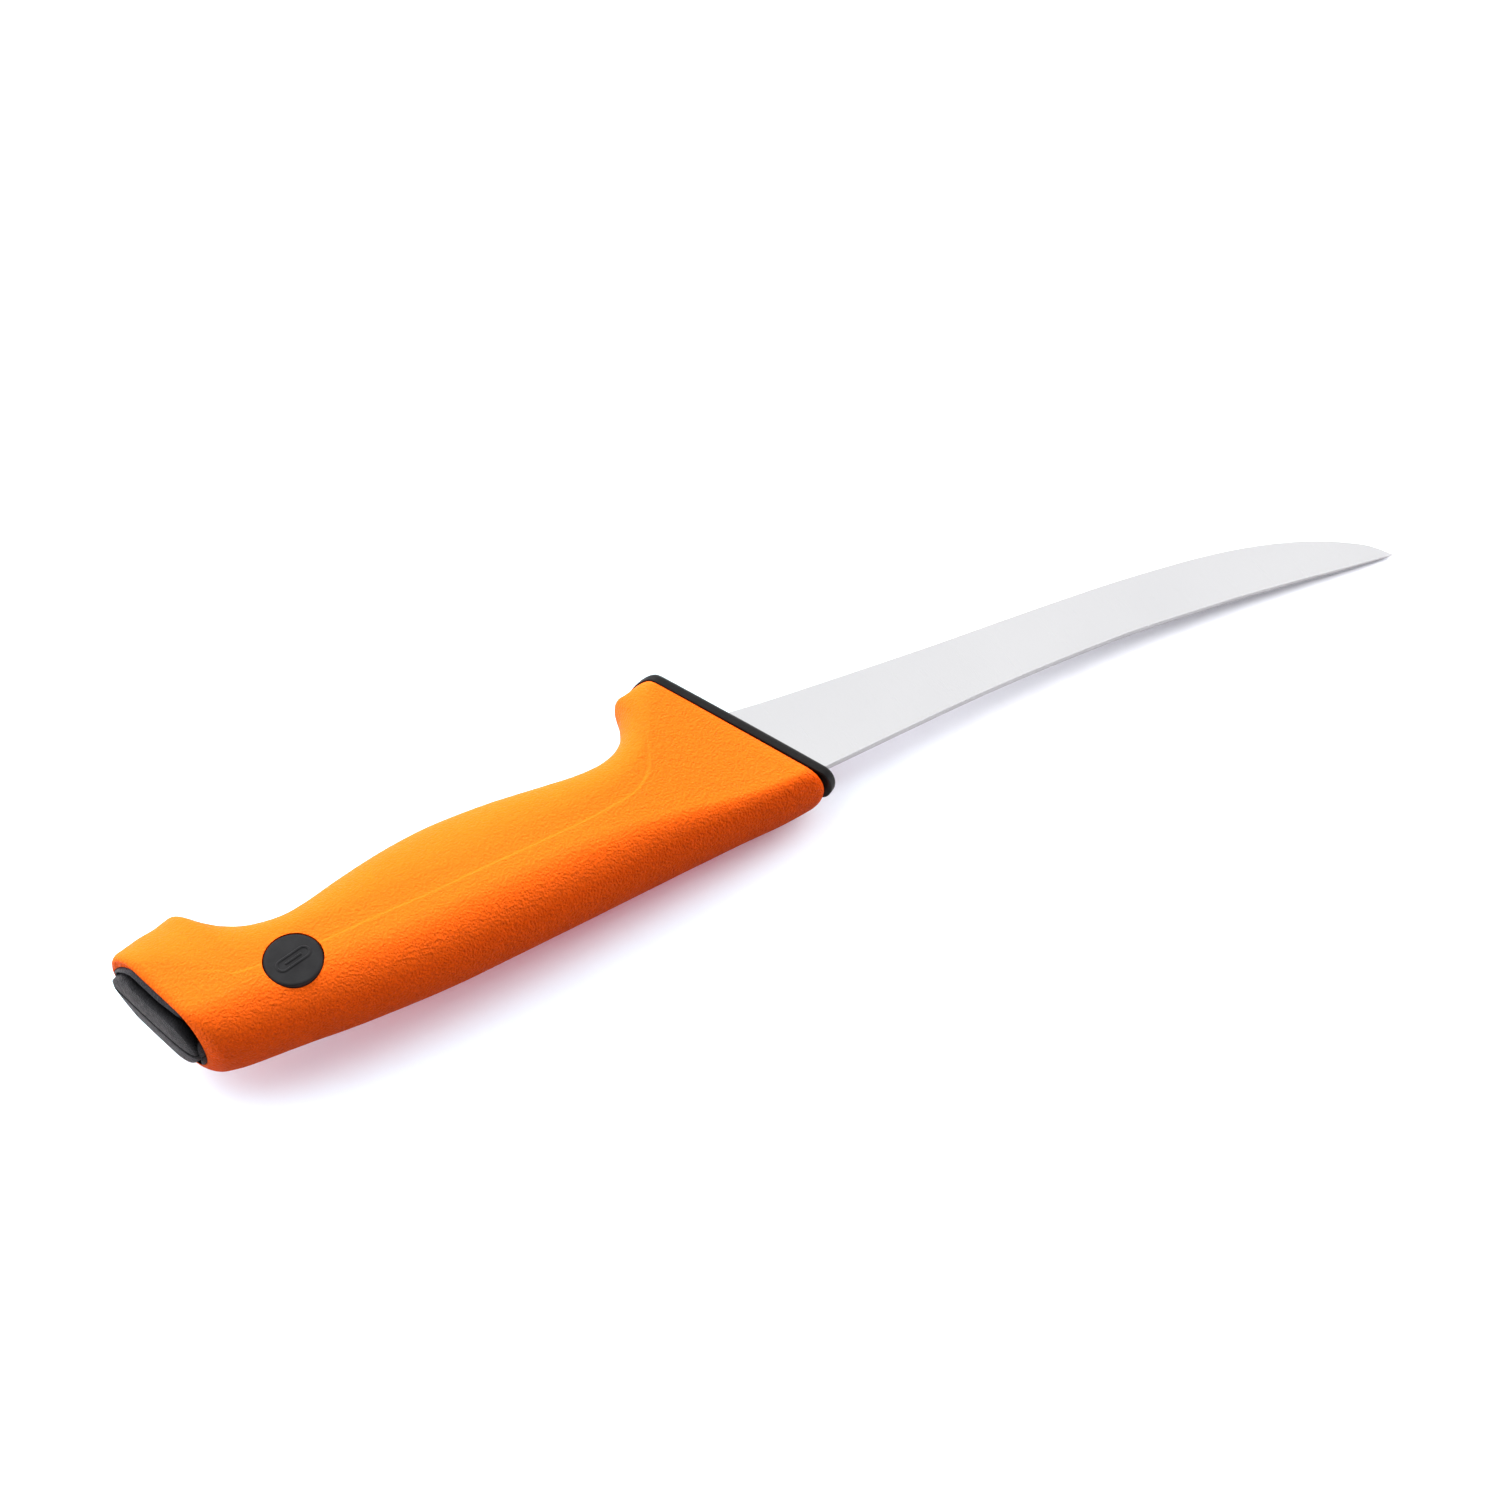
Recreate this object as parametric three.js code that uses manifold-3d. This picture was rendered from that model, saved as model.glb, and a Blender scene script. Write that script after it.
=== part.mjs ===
// Boning knife: curved, upswept blade in a two-colour moulded handle.
//
// Frame: millimetres. The blade's mid-plane is z = 0. +X runs from the handle to the
// tip, +Y points to the cutting edge and the finger side of the handle, +Z points out
// of the left flank. The origin is the centre of the knife's overall box, on the blade's
// mid-plane. The outline tables below are measured from a working point in the plane of
// the guard plate's front rim, and the finished group is moved by -CENTRE.
//
// Handle sections lie in slanted planes ("stations") named by their x on the centre line.
// Within a station, w runs along the slanted plane towards the finger side.

import * as THREE from 'three';
import { mergeVertices } from 'three/addons/utils/BufferGeometryUtils.js';
import Module from 'manifold-3d';

const { clamp, degToRad, smoothstep } = THREE.MathUtils;

// ---------------------------------------------------------------- driving dimensions
const CENTRE = [5.80, -0.56];     // centre of the overall box, from the working point
const GAP = 0.15;                 // clearance between moulded pieces

// Handle
const SLANT_BUTT = 17.0;          // lean of the butt face to the handle axis, degrees
const SLANT_GUARD = 29.0;         // lean of the guard plate, degrees
const AXIS_Y = -5;                // height of the handle's centre line
const X_BUTT = -131.8;            // butt rim of the grip
const X_FRONT = 3.29;             // guard plate's front rim
const SKIN = 2.4;                 // thickness of the soft grip over the core
const X_CORE_END = -122.5;        // rear end of the core
const X_CORE_FRONT = 2.4;         // front end of the core body, inside the guard plate
const MIN_ROUND = 0.8;            // least width of a section's rounding

// Guard plate
const PLATE_T = 2.3;              // thickness at the rim
const PLATE_INSET = 0.4;          // inset of the rim from the plate's own section
const PLATE_CROWN = 1.65;         // bulge at the mid-plane
const PLATE_GAP = 0.32;           // joint between guard plate and grip
const PLATE_SPINE_IN = 0.45;      // spine end drawn in from the handle's section
const PLATE_FINGER_OUT = 0.7;     // finger end pushed out from the handle's section
const PLATE_SPINE_THIN = 1.5;     // half thickness taken off at the spine-side shoulder
const PLATE_SPINE_ROUND = 3.4;    // width of the spine-side rounding

// Butt cap
const CAP_INSET = 1.35;           // width of the grip's wrapped rim round the cap
const CAP_EDGE = CAP_INSET + GAP; // inset of the cap's own edge
const CAP_POINT = 1.5;            // how sharply the butt opening closes at the finger end
const CAP_PROUD = 3.15;           // crown of the cap beyond the grip's rim
const X_FLANGE = X_BUTT + 2.6;    // floor of the recess for the cap's flange
const CAP_SPIGOT = { w: -3.4, alongW: 6.0, alongZ: 3.6, sides: 20 }; // centre and half sizes
const X_CAP_SPIGOT = X_CORE_END - 3;   // rear end of the cap's spigot
const CAP_SPIGOT_REACH = 8;       // spigot length ahead of the core's rear end
const CAP_SEAT_REACH = 9;         // depth of its seat in the core

// Round discs in the flanks
const DISC_X = -106.1;
const DISC_Y = -9.5;
const DISC_R = 6.0;
const DISC_TOP = 10.3;            // outer face, from the mid-plane
const DISC_DEPTH = 1.9;           // thickness of the head
const DISC_CHAMFER = 0.4;
const DISC_SEGMENTS = 40;
const DISC_SEAT = DISC_TOP - DISC_DEPTH; // underside of the head
const SPIGOT_R = 2.6;
const SPIGOT_LEN = 4.2;
const BORE_SEGMENTS = 24;         // disc spigot seats and lock holes

// Blade and tang
const BLADE_T = 1.7;              // thickness at the heel's spine
const TIP_T = 0.9;                // thickness at the tip's spine
const X_TAPER = [14, 150];        // where the thickness taper starts and ends
const EDGE_T = 0.34;              // thickness behind the honed bevel
const BEVEL = 0.75;               // height of the honed bevel
const TANG_T = 1.7;               // tang thickness
const TANG_END = -96;             // rear end of the tang
const SLOT_GAP = 0.12;            // clearance of the slot round blade and tang
const SLOT_EDGE_GAP = 0.14;       // clearance of the slot at the cutting edge
const LOCK_HOLE_R = 3.2;          // lock holes through the tang
const LOCK_HOLE_REACH = 3;        // half length of the bars in the lock holes
const LOCK_HOLES = [[-22, -8.0], [-50, -8.6], [-80, -9.0]]; // centres (x, y)

const MATERIALS = {
  blade: { color: 0xe6e6e8, roughness: 0.32, metalness: 1.0 },
  core: { color: 0x2b2b2e, roughness: 0.45, metalness: 0.0 },
  grip: { color: 0xf57c14, roughness: 0.62, metalness: 0.0 },
  cap: { color: 0x2f2f33, roughness: 0.7, metalness: 0.0 },
  disc: { color: 0x333336, roughness: 0.4, metalness: 0.0 },
};

// ---------------------------------------------------------------- measured tables
// Outline of the handle on the mid-plane, spine side and finger side (x, y).
const SPINE = [
  [-137.0, -3.5], [-132.0, -10.5], [-130.0, -14.4], [-128.2, -16.8], [-126.0, -18.5],
  [-123.0, -19.5], [-118.8, -20.1], [-108.0, -21.0], [-98.8, -21.9], [-86.0, -22.6],
  [-76.0, -22.8], [-65.8, -22.5], [-52.0, -22.0], [-37.7, -21.35], [-23.4, -20.75],
  [-12.0, -20.45], [-2.0, -20.4], [4.4, -20.3], [7.4, -19.9], [9.6, -19.2],
  [12.0, -18.3], [16.0, -16.5],
];
const FINGER = [
  [-144.0, 10.4], [-139.0, 11.9], [-136.4, 12.9], [-133.6, 13.9], [-130.4, 15.0],
  [-127.2, 15.7], [-124.8, 16.5], [-123.4, 16.9], [-122.2, 16.7], [-120.9, 15.4],
  [-119.4, 13.5], [-117.6, 11.6], [-115.6, 9.8], [-112.0, 7.5], [-108.0, 6.1],
  [-103.6, 5.4], [-98.8, 6.1], [-91.4, 8.1], [-84.0, 9.8], [-76.9, 11.0],
  [-69.8, 11.6], [-63.2, 11.5], [-56.5, 11.0], [-50.1, 10.1], [-43.7, 9.0],
  [-39.0, 8.2], [-35.0, 7.8], [-31.5, 7.8], [-28.8, 8.3], [-26.6, 9.2],
  [-24.8, 10.5], [-23.4, 12.0], [-22.4, 13.7], [-21.6, 15.5], [-21.1, 17.3],
  [-20.8, 19.2], [-20.2, 20.7], [-18.9, 21.7], [-17.2, 22.0], [-15.6, 22.2],
  [-14.2, 22.8], [-12.7, 23.5], [-11.0, 24.2], [-6.0, 26.0],
];
// Shoulder line where the flat flank turns into the finger-side slope (x, y).
const CREASE = [
  [-145.0, 6.0], [-136.0, 4.5], [-128.0, 1.0], [-122.0, -3.0], [-117.0, -5.4],
  [-110.0, -5.2], [-100.0, -3.6], [-91.5, -3.9], [-80.6, -4.0], [-69.9, -4.5],
  [-58.6, -4.4], [-47.3, -4.2], [-35.4, -3.1], [-27.1, -0.6], [-19.7, 5.5],
  [-16.4, 11.0], [-13.4, 15.2], [-9.8, 18.2], [-4.0, 21.0],
];
// Section sizes along the centre line: x, spine-side rounding width, half thickness at
// the spine-side shoulder, half thickness at the finger-side shoulder.
const SECTION = [
  [-134, 8.0, 9.9, 9.9], [-128, 10.5, 10.1, 10.1], [-118, 12.0, 10.3, 10.3],
  [-60, 12.0, 10.3, 10.3], [-48, 11.4, 10.3, 10.3], [-36, 10.0, 9.8, 10.3],
  [-26, 8.2, 8.9, 9.9], [-17, 6.4, 7.7, 9.5], [-9, 5.2, 7.1, 9.3],
  [0, 4.6, 6.6, 9.2], [6, 4.4, 6.2, 9.1],
];
// Blade outline (x, y): cutting edge and spine, paired point by point.
const EDGE = [
  [-6.5, 9.93], [2.0, 8.8], [14.0, 7.2], [45.0, 3.9], [64.4, 2.2],
  [83.8, 0.4], [93.4, -0.7], [103.0, -2.1], [112.4, -3.7], [121.6, -5.9],
  [130.2, -8.8], [138.3, -12.6], [145.5, -17.5], [148.5, -20.8], [149.8, -23.0],
];
const BACK = [
  [-6.5, -14.1], [2.0, -13.9], [14.0, -13.6], [45.0, -12.9], [64.4, -13.1],
  [83.8, -14.0], [93.4, -14.9], [103.0, -16.1], [112.4, -17.3], [121.6, -18.8],
  [130.2, -20.3], [138.3, -21.8], [145.5, -23.0], [148.5, -23.45], [150.0, -23.6],
];
// Tang outline (x, y).
const TANG = [
  [-3.0, 2.6], [-12.0, 0.2], [-20.0, -1.6], [-60.0, -3.2],
  [TANG_END + 4, -4.2], [TANG_END, -7.2], [TANG_END, -11.2], [TANG_END + 4, -14.0],
  [-60.0, -14.2], [-20.0, -14.2], [-3.0, -14.0],
];
// Crown of the butt cap along its length: w, height beyond the grip's rim.
const CAP_CROWN = [
  [-13.5, 0.1], [-12.0, 0.5], [-10.3, 1.75], [-8.6, 2.2], [-6.2, 2.6], [-3.7, 2.9],
  [1.6, CAP_PROUD], [7.3, 3.0], [12.0, 2.65], [14.5, 2.25], [15.8, 1.8], [16.8, 1.1],
  [18.0, 0.3],
];
// Stations of the lofts: near the butt, and along the rest of the handle.
const BUTT_STATIONS = [0, 0.8, 1.5, 2.6, 3.8].map((offset) => X_BUTT + offset);
const STATIONS = [
  -127, -123, -120, -118.2, -117.1, -116.2, -115.4, -114.5, -113.4, -112.2,
  -110.8, -109, -106.5, -103.5, -100, -95, -89, -83, -76, -69,
  -62, -55, -48, -42, -36, -31, -27, -24, -21.5, -19.5,
  -17.6, -15.8, -14, -12.2, -10.6, -9.2, -7.8, -6.2, -4.6, -2.9,
];

// ---------------------------------------------------------------- handle sections
const toVectors = (points) => points.map(([x, y]) => new THREE.Vector2(x, y));
const smoothLine = (points, steps) => new THREE.SplineCurve(toVectors(points)).getPoints(steps);
const spineLine = smoothLine(SPINE, 600);
const fingerLine = smoothLine(FINGER, 1200);
const creaseLine = smoothLine(CREASE, 600);

// Linear interpolation in a table whose first column is x, held level past both ends.
const interpolate = (table, x, column) => {
  if (x <= table[0][0]) return table[0][column];
  for (let i = 1; i < table.length; i++) {
    const before = table[i - 1], after = table[i];
    if (x <= after[0]) {
      const t = (x - before[0]) / (after[0] - before[0]);
      return before[column] + (after[column] - before[column]) * t;
    }
  }
  return table[table.length - 1][column];
};

const slantAt = (x) => {
  const t = clamp((x - X_BUTT) / (X_FRONT - X_BUTT), 0, 1);
  return degToRad(SLANT_BUTT + (SLANT_GUARD - SLANT_BUTT) * t);
};

// The w at which station x meets a line: the outermost crossing towards `side`
// (+1 finger, -1 spine).
const crossing = (line, x, slant, side) => {
  const cos = Math.cos(slant), sin = Math.sin(slant);
  const ahead = (p) => (p.x - x) * cos + (p.y - AXIS_Y) * sin;
  let outermost = null;
  for (let i = 1; i < line.length; i++) {
    const p = line[i - 1], q = line[i];
    const a = ahead(p), b = ahead(q);
    if ((a <= 0) === (b <= 0)) continue;
    const t = a / (a - b);
    const dx = p.x + (q.x - p.x) * t - x;
    const dy = p.y + (q.y - p.y) * t - AXIS_Y;
    const w = dy * cos - dx * sin;
    if (outermost === null || (w - outermost) * side > 0) outermost = w;
  }
  return outermost;
};

// Cross-section of the handle at station x: extents in w and shoulder sizes.
const sectionAt = (x) => {
  const slant = slantAt(x);
  return {
    slant,
    spineW: crossing(spineLine, x, slant, -1),
    fingerW: crossing(fingerLine, x, slant, 1),
    creaseW: crossing(creaseLine, x, slant, 1),
    spineRound: interpolate(SECTION, x, 1),
    spineHalf: interpolate(SECTION, x, 2),
    fingerHalf: interpolate(SECTION, x, 3),
  };
};

const SPINE_STEPS = 6;
const FINGER_STEPS = 7;
// Closed ring of a section, pulled in by `inset`, as [w, z] pairs. `pointed` above 1
// sharpens the finger end.
const sectionRing = (section, inset, pointed = 1) => {
  const spineW = section.spineW + inset, fingerW = section.fingerW - inset;
  const spineHalf = section.spineHalf - inset, fingerHalf = section.fingerHalf - inset;
  const spineRound = Math.max(MIN_ROUND, section.spineRound - inset);
  const fingerRound = Math.max(MIN_ROUND, fingerW - section.creaseW);
  const left = [];
  for (let i = 0; i <= SPINE_STEPS; i++) {
    const t = (i / SPINE_STEPS) * Math.PI / 2;
    left.push([spineW + spineRound - spineRound * Math.cos(t), spineHalf * Math.sin(t)]);
  }
  for (let i = FINGER_STEPS; i >= 0; i--) {
    const t = (i / FINGER_STEPS) * Math.PI / 2;
    left.push([
      fingerW - fingerRound + fingerRound * Math.cos(t) ** pointed,
      fingerHalf * Math.sin(t) ** pointed,
    ]);
  }
  const right = left.slice(1, -1).reverse().map(([w, z]) => [w, -z]);
  return [...left, ...right];
};

// The front of the handle bulges forward towards the mid-plane, out to z = CROWN_HALF.
const CROWN_HALF = 9;
const crownAt = (x, z) => PLATE_CROWN * smoothstep(x, X_FRONT - 15, X_FRONT - 3)
  * (1 - Math.min(1, (z / CROWN_HALF) ** 2));

// Both end rims leave their planes towards the finger side: the guard's corner falls
// back, the butt's corner stands out. `from` is the w where each bend starts.
const GUARD_BEND = { from: 27.8, curvature: 0.21, limit: 3.6 };
const BUTT_BEND = { from: 9, width: 9, depth: 0.5, fade: 7 };
const bendAt = (x, w) => {
  const guardShare = smoothstep(x, X_FRONT - 12, X_FRONT - 3);
  const frontW = w + (X_FRONT - x) * Math.sin(degToRad(SLANT_GUARD));
  const beyond = Math.max(0, frontW - GUARD_BEND.from);
  const fallBack = Math.min(GUARD_BEND.limit, GUARD_BEND.curvature * beyond * beyond);
  const buttShare = clamp((X_BUTT + BUTT_BEND.fade - x) / BUTT_BEND.fade, 0, 1);
  const along = clamp((w - BUTT_BEND.from) / BUTT_BEND.width, 0, 1);
  return -guardShare * fallBack - buttShare * BUTT_BEND.depth * along * along;
};

// A station's point in space, moved forward by `shift` along the station's normal.
const placePoint = (x, [w, z], slant, shift = 0) => {
  const forward = shift + crownAt(x, z) + bendAt(x, w);
  return new THREE.Vector3(
    x + Math.cos(slant) * forward - Math.sin(slant) * w,
    AXIS_Y + Math.sin(slant) * forward + Math.cos(slant) * w,
    z,
  );
};
const placeRing = (x, ring, slant, shift) => ring.map((p) => placePoint(x, p, slant, shift));

// Handle rings pulled in by `inset`, from xRear to xFront through the stations between.
// Behind the butt rim the section stays that of the rim.
const insetRings = (inset, xRear, xFront, pointed) => {
  const between = [...BUTT_STATIONS, ...STATIONS]
    .filter((x) => x > xRear + 0.2 && x < xFront - 0.2);
  return [xRear, ...between, xFront].map((x) => {
    const section = sectionAt(Math.max(x, X_BUTT));
    return placeRing(x, sectionRing(section, inset, pointed), section.slant);
  });
};

// ---------------------------------------------------------------- solids
const wasm = await Module();
wasm.setup();

const signedVolume = (positions, triangles) => {
  const corner = (i) => new THREE.Vector3().fromArray(positions, triangles[i] * 3);
  let volume = 0;
  for (let i = 0; i < triangles.length; i += 3) {
    volume += corner(i).dot(corner(i + 1).cross(corner(i + 2))) / 6;
  }
  return volume;
};

// Manifold solid of a closed geometry, whichever way its faces are wound.
const solid = (geometry) => {
  // Only positions are kept, so that seams between normals or uvs can merge.
  const bare = new THREE.BufferGeometry();
  bare.setAttribute('position', geometry.attributes.position);
  bare.setIndex(geometry.index);
  const merged = mergeVertices(bare, 1e-4);
  const vertProperties = new Float32Array(merged.attributes.position.array);
  const triVerts = new Uint32Array(merged.index.array);
  if (signedVolume(vertProperties, triVerts) < 0) {
    for (let i = 0; i < triVerts.length; i += 3) {
      [triVerts[i + 1], triVerts[i + 2]] = [triVerts[i + 2], triVerts[i + 1]];
    }
  }
  return new wasm.Manifold(new wasm.Mesh({ numProp: 3, vertProperties, triVerts }));
};

// Solid skinned over rings of equal point count, each end closed by a fan.
const loft = (rings) => {
  const count = rings[0].length;
  const points = rings.flat();
  const index = [];
  for (let k = 0; k + 1 < rings.length; k++) {
    for (let j = 0; j < count; j++) {
      const a = k * count + j, b = k * count + (j + 1) % count;
      const c = a + count, d = b + count;
      index.push(a, b, d, a, d, c);
    }
  }
  const closeEnd = (k, flip) => {
    const centre = new THREE.Vector3();
    rings[k].forEach((p) => centre.add(p));
    const hub = points.push(centre.multiplyScalar(1 / count)) - 1;
    for (let j = 0; j < count; j++) {
      const a = k * count + j, b = k * count + (j + 1) % count;
      index.push(hub, ...(flip ? [b, a] : [a, b]));
    }
  };
  closeEnd(0, true);
  closeEnd(rings.length - 1, false);
  const geometry = new THREE.BufferGeometry().setFromPoints(points);
  geometry.setIndex(index);
  return solid(geometry);
};

// Round bar parallel to z between two heights, given in either order.
const bar = (radius, x, y, zA, zB, segments) => {
  const geometry = new THREE.CylinderGeometry(radius, radius, Math.abs(zB - zA), segments);
  geometry.rotateX(Math.PI / 2);
  geometry.translate(x, y, (zA + zB) / 2);
  return solid(geometry);
};

// Flat plate of an outline, centred on the mid-plane.
const plate = (points, thickness) => {
  const shape = new THREE.Shape(toVectors(points));
  const geometry = new THREE.ExtrudeGeometry(shape, { depth: thickness, bevelEnabled: false });
  geometry.translate(0, 0, -thickness / 2);
  return solid(geometry);
};

const subtractAll = (body, tools) => tools.reduce((rest, tool) => rest.subtract(tool), body);

const lockBars = (radius) => LOCK_HOLES.map(([x, y]) => (
  bar(radius, x, y, -LOCK_HOLE_REACH, LOCK_HOLE_REACH, BORE_SEGMENTS)));

// Bars on the disc axis, one in each flank.
const discBars = (radius, zInner, zOuter, segments) => [1, -1].map((side) => (
  bar(radius, DISC_X, DISC_Y, side * zInner, side * zOuter, segments)));

// ---------------------------------------------------------------- blade and tang
const thicknessAt = (x) => {
  const t = clamp((x - X_TAPER[0]) / (X_TAPER[1] - X_TAPER[0]), 0, 1);
  return BLADE_T + (TIP_T - BLADE_T) * t * t;
};

// Five-point sections: the two spine corners, then round the honed bevel.
const bladeRings = EDGE.map(([xEdge, yEdge], i) => {
  const [xBack, yBack] = BACK[i];
  const width = Math.hypot(xEdge - xBack, yEdge - yBack);
  const bevelShare = Math.min(BEVEL, width * 0.4) / width;
  const xBevel = xEdge + (xBack - xEdge) * bevelShare;
  const yBevel = yEdge + (yBack - yEdge) * bevelShare;
  // The spine thins where the blade narrows at the tip.
  const backHalf = thicknessAt(xBack) / 2 * Math.min(1, 0.35 + width / 6);
  const bevelHalf = Math.min(EDGE_T / 2, backHalf * 0.8);
  return [
    new THREE.Vector3(xBack, yBack, -backHalf),
    new THREE.Vector3(xBack, yBack, backHalf),
    new THREE.Vector3(xBevel, yBevel, bevelHalf),
    new THREE.Vector3(xEdge, yEdge, 0),
    new THREE.Vector3(xBevel, yBevel, -bevelHalf),
  ];
});

const buildBlade = () => subtractAll(
  loft(bladeRings).add(plate(TANG, TANG_T)),
  lockBars(LOCK_HOLE_R),
);

// ---------------------------------------------------------------- core with guard plate
const buildGuardPlate = () => {
  const section = sectionAt(X_FRONT);
  section.spineW += PLATE_SPINE_IN;
  section.fingerW += PLATE_FINGER_OUT;
  section.spineHalf -= PLATE_SPINE_THIN;
  section.spineRound = PLATE_SPINE_ROUND;
  const plateRing = (inset, shift) => (
    placeRing(X_FRONT, sectionRing(section, inset), section.slant, shift));
  // The front face closes over the rim with smaller and smaller rings on the same crown.
  const faceRim = sectionRing(section, PLATE_INSET + 1.0);
  const middleW = 0.5 * (section.spineW + section.fingerW);
  const faceRing = (scale) => placeRing(
    X_FRONT,
    faceRim.map(([w, z]) => [middleW + (w - middleW) * (0.5 + 0.5 * scale), z * scale]),
    section.slant,
  );
  return loft([
    plateRing(3.9, -PLATE_T),
    plateRing(2.1, -PLATE_T),
    plateRing(PLATE_INSET, -PLATE_T),
    plateRing(PLATE_INSET, -0.9),
    plateRing(PLATE_INSET + 0.3, -0.3),
    plateRing(PLATE_INSET + 1.0, 0),
    ...[0.66, 0.33, 0.08].map(faceRing),
  ]);
};

// Outline with every side moved outwards by `distance`.
const offsetOutline = (points, distance) => {
  const count = points.length;
  let area = 0;
  points.forEach(([x, y], i) => {
    const [nextX, nextY] = points[(i + 1) % count];
    area += x * nextY - nextX * y;
  });
  const turn = area > 0 ? 1 : -1;
  const outward = (from, to) => {
    const length = Math.hypot(to[0] - from[0], to[1] - from[1]);
    return [turn * (to[1] - from[1]) / length, -turn * (to[0] - from[0]) / length];
  };
  return points.map((point, i) => {
    const before = outward(points[(i + count - 1) % count], point);
    const after = outward(point, points[(i + 1) % count]);
    const reach = distance / (1 + before[0] * after[0] + before[1] * after[1]);
    return [
      point[0] + (before[0] + after[0]) * reach,
      point[1] + (before[1] + after[1]) * reach,
    ];
  });
};

// Slot for blade heel and tang, opened at the front; the plastic in the lock holes stays.
const buildSlot = () => {
  // The heel's slot follows the ground section of the blade, clear all round.
  const heelRings = bladeRings.slice(0, 3).map((ring, i) => {
    const [backRight, backLeft, bevelLeft, edge, bevelRight] = ring;
    const dx = i === 0 ? -SLOT_GAP : 0;
    const moved = (point, dy, dz) => point.clone().add(new THREE.Vector3(dx, dy, dz));
    return [
      moved(backRight, -SLOT_GAP, -SLOT_GAP),
      moved(backLeft, -SLOT_GAP, SLOT_GAP),
      moved(bevelLeft, 0, SLOT_GAP),
      moved(edge, SLOT_EDGE_GAP, SLOT_GAP),
      moved(edge, SLOT_EDGE_GAP, -SLOT_GAP),
      moved(bevelRight, 0, -SLOT_GAP),
    ];
  });
  const tangSlot = plate(offsetOutline(TANG, SLOT_GAP), TANG_T + 2 * SLOT_GAP);
  return subtractAll(tangSlot.add(loft(heelRings)), lockBars(LOCK_HOLE_R - GAP));
};

// Oval bar from the butt cap into the core, or with `growth` the seat for it.
const capSpigot = (reach, growth) => {
  const { slant } = sectionAt(X_CORE_END);
  const { w, alongW, alongZ, sides } = CAP_SPIGOT;
  const oval = Array.from({ length: sides }, (_, i) => {
    const t = (i / sides) * 2 * Math.PI;
    return [w - (alongW + growth) * Math.cos(t), (alongZ + growth) * Math.sin(t)];
  });
  return loft([X_CAP_SPIGOT, X_CORE_END + reach].map((x) => placeRing(x, oval, slant)));
};

const buildCore = () => {
  const body = loft(insetRings(SKIN, X_CORE_END, X_CORE_FRONT)).add(buildGuardPlate());
  const seatTop = DISC_TOP + 2;
  return subtractAll(body, [
    buildSlot(),
    ...discBars(SPIGOT_R + GAP, DISC_SEAT - SPIGOT_LEN - GAP, seatTop, BORE_SEGMENTS),
    ...discBars(DISC_R + GAP, DISC_SEAT - GAP, seatTop, DISC_SEGMENTS),
    capSpigot(CAP_SEAT_REACH, GAP),
  ]);
};

// ---------------------------------------------------------------- soft grip
const X_GRIP_FRONT = X_FRONT - (PLATE_T + PLATE_GAP) / Math.cos(degToRad(SLANT_GUARD));
// Rings of the outer surface: x, inset, extra inset at the spine side.
const GRIP_RINGS = [
  [X_BUTT, 1.25, 0], [X_BUTT + 0.25, 0.7, 0], [X_BUTT + 0.9, 0.25, 0], [X_BUTT + 2.1, 0, 0],
  ...STATIONS.map((x) => [x, 0, 0]),
  [X_GRIP_FRONT - 1.6, 0.03, 0.2], [X_GRIP_FRONT - 0.6, 0.15, 0.6],
  [X_GRIP_FRONT, 0.5, 1.0], [X_GRIP_FRONT, 1.8, 0.6], [X_GRIP_FRONT, 3.4, 0],
];

const buildGrip = () => {
  const outer = loft(GRIP_RINGS.map(([x, inset, spineInset]) => {
    const section = sectionAt(x);
    section.spineW += spineInset;
    section.spineHalf -= spineInset;
    return placeRing(x, sectionRing(section, inset), section.slant);
  }));
  return subtractAll(outer, [
    // Everything inside the soft skin, to beyond the grip's front.
    loft(insetRings(SKIN - GAP, X_BUTT + 1.5, X_CORE_FRONT)),
    // The rim at the butt is thinner than the skin: a wider recess seats the cap's flange.
    loft(insetRings(CAP_INSET, X_BUTT - 2, X_FLANGE, CAP_POINT)),
    ...discBars(DISC_R + GAP, 5, 14, DISC_SEGMENTS),
  ]);
};

// ---------------------------------------------------------------- discs
// Disc with its spigot; side +1 is the left flank, -1 the right.
const buildDisc = (side) => {
  const profile = toVectors([
    [0, DISC_SEAT - SPIGOT_LEN], [SPIGOT_R, DISC_SEAT - SPIGOT_LEN],
    [SPIGOT_R, DISC_SEAT], [DISC_R, DISC_SEAT],
    [DISC_R, DISC_TOP - DISC_CHAMFER], [DISC_R - DISC_CHAMFER, DISC_TOP], [0, DISC_TOP],
  ]);
  const geometry = new THREE.LatheGeometry(profile, DISC_SEGMENTS);
  geometry.rotateX(side * Math.PI / 2);
  geometry.translate(DISC_X, DISC_Y, 0);
  return solid(geometry);
};

// ---------------------------------------------------------------- butt cap
// Fall of the cap's crown towards the flanks: share lost at z = half, and its curve.
const CAP_FALL = { half: 8.6, share: 0.85, power: 1.8 };

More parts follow.
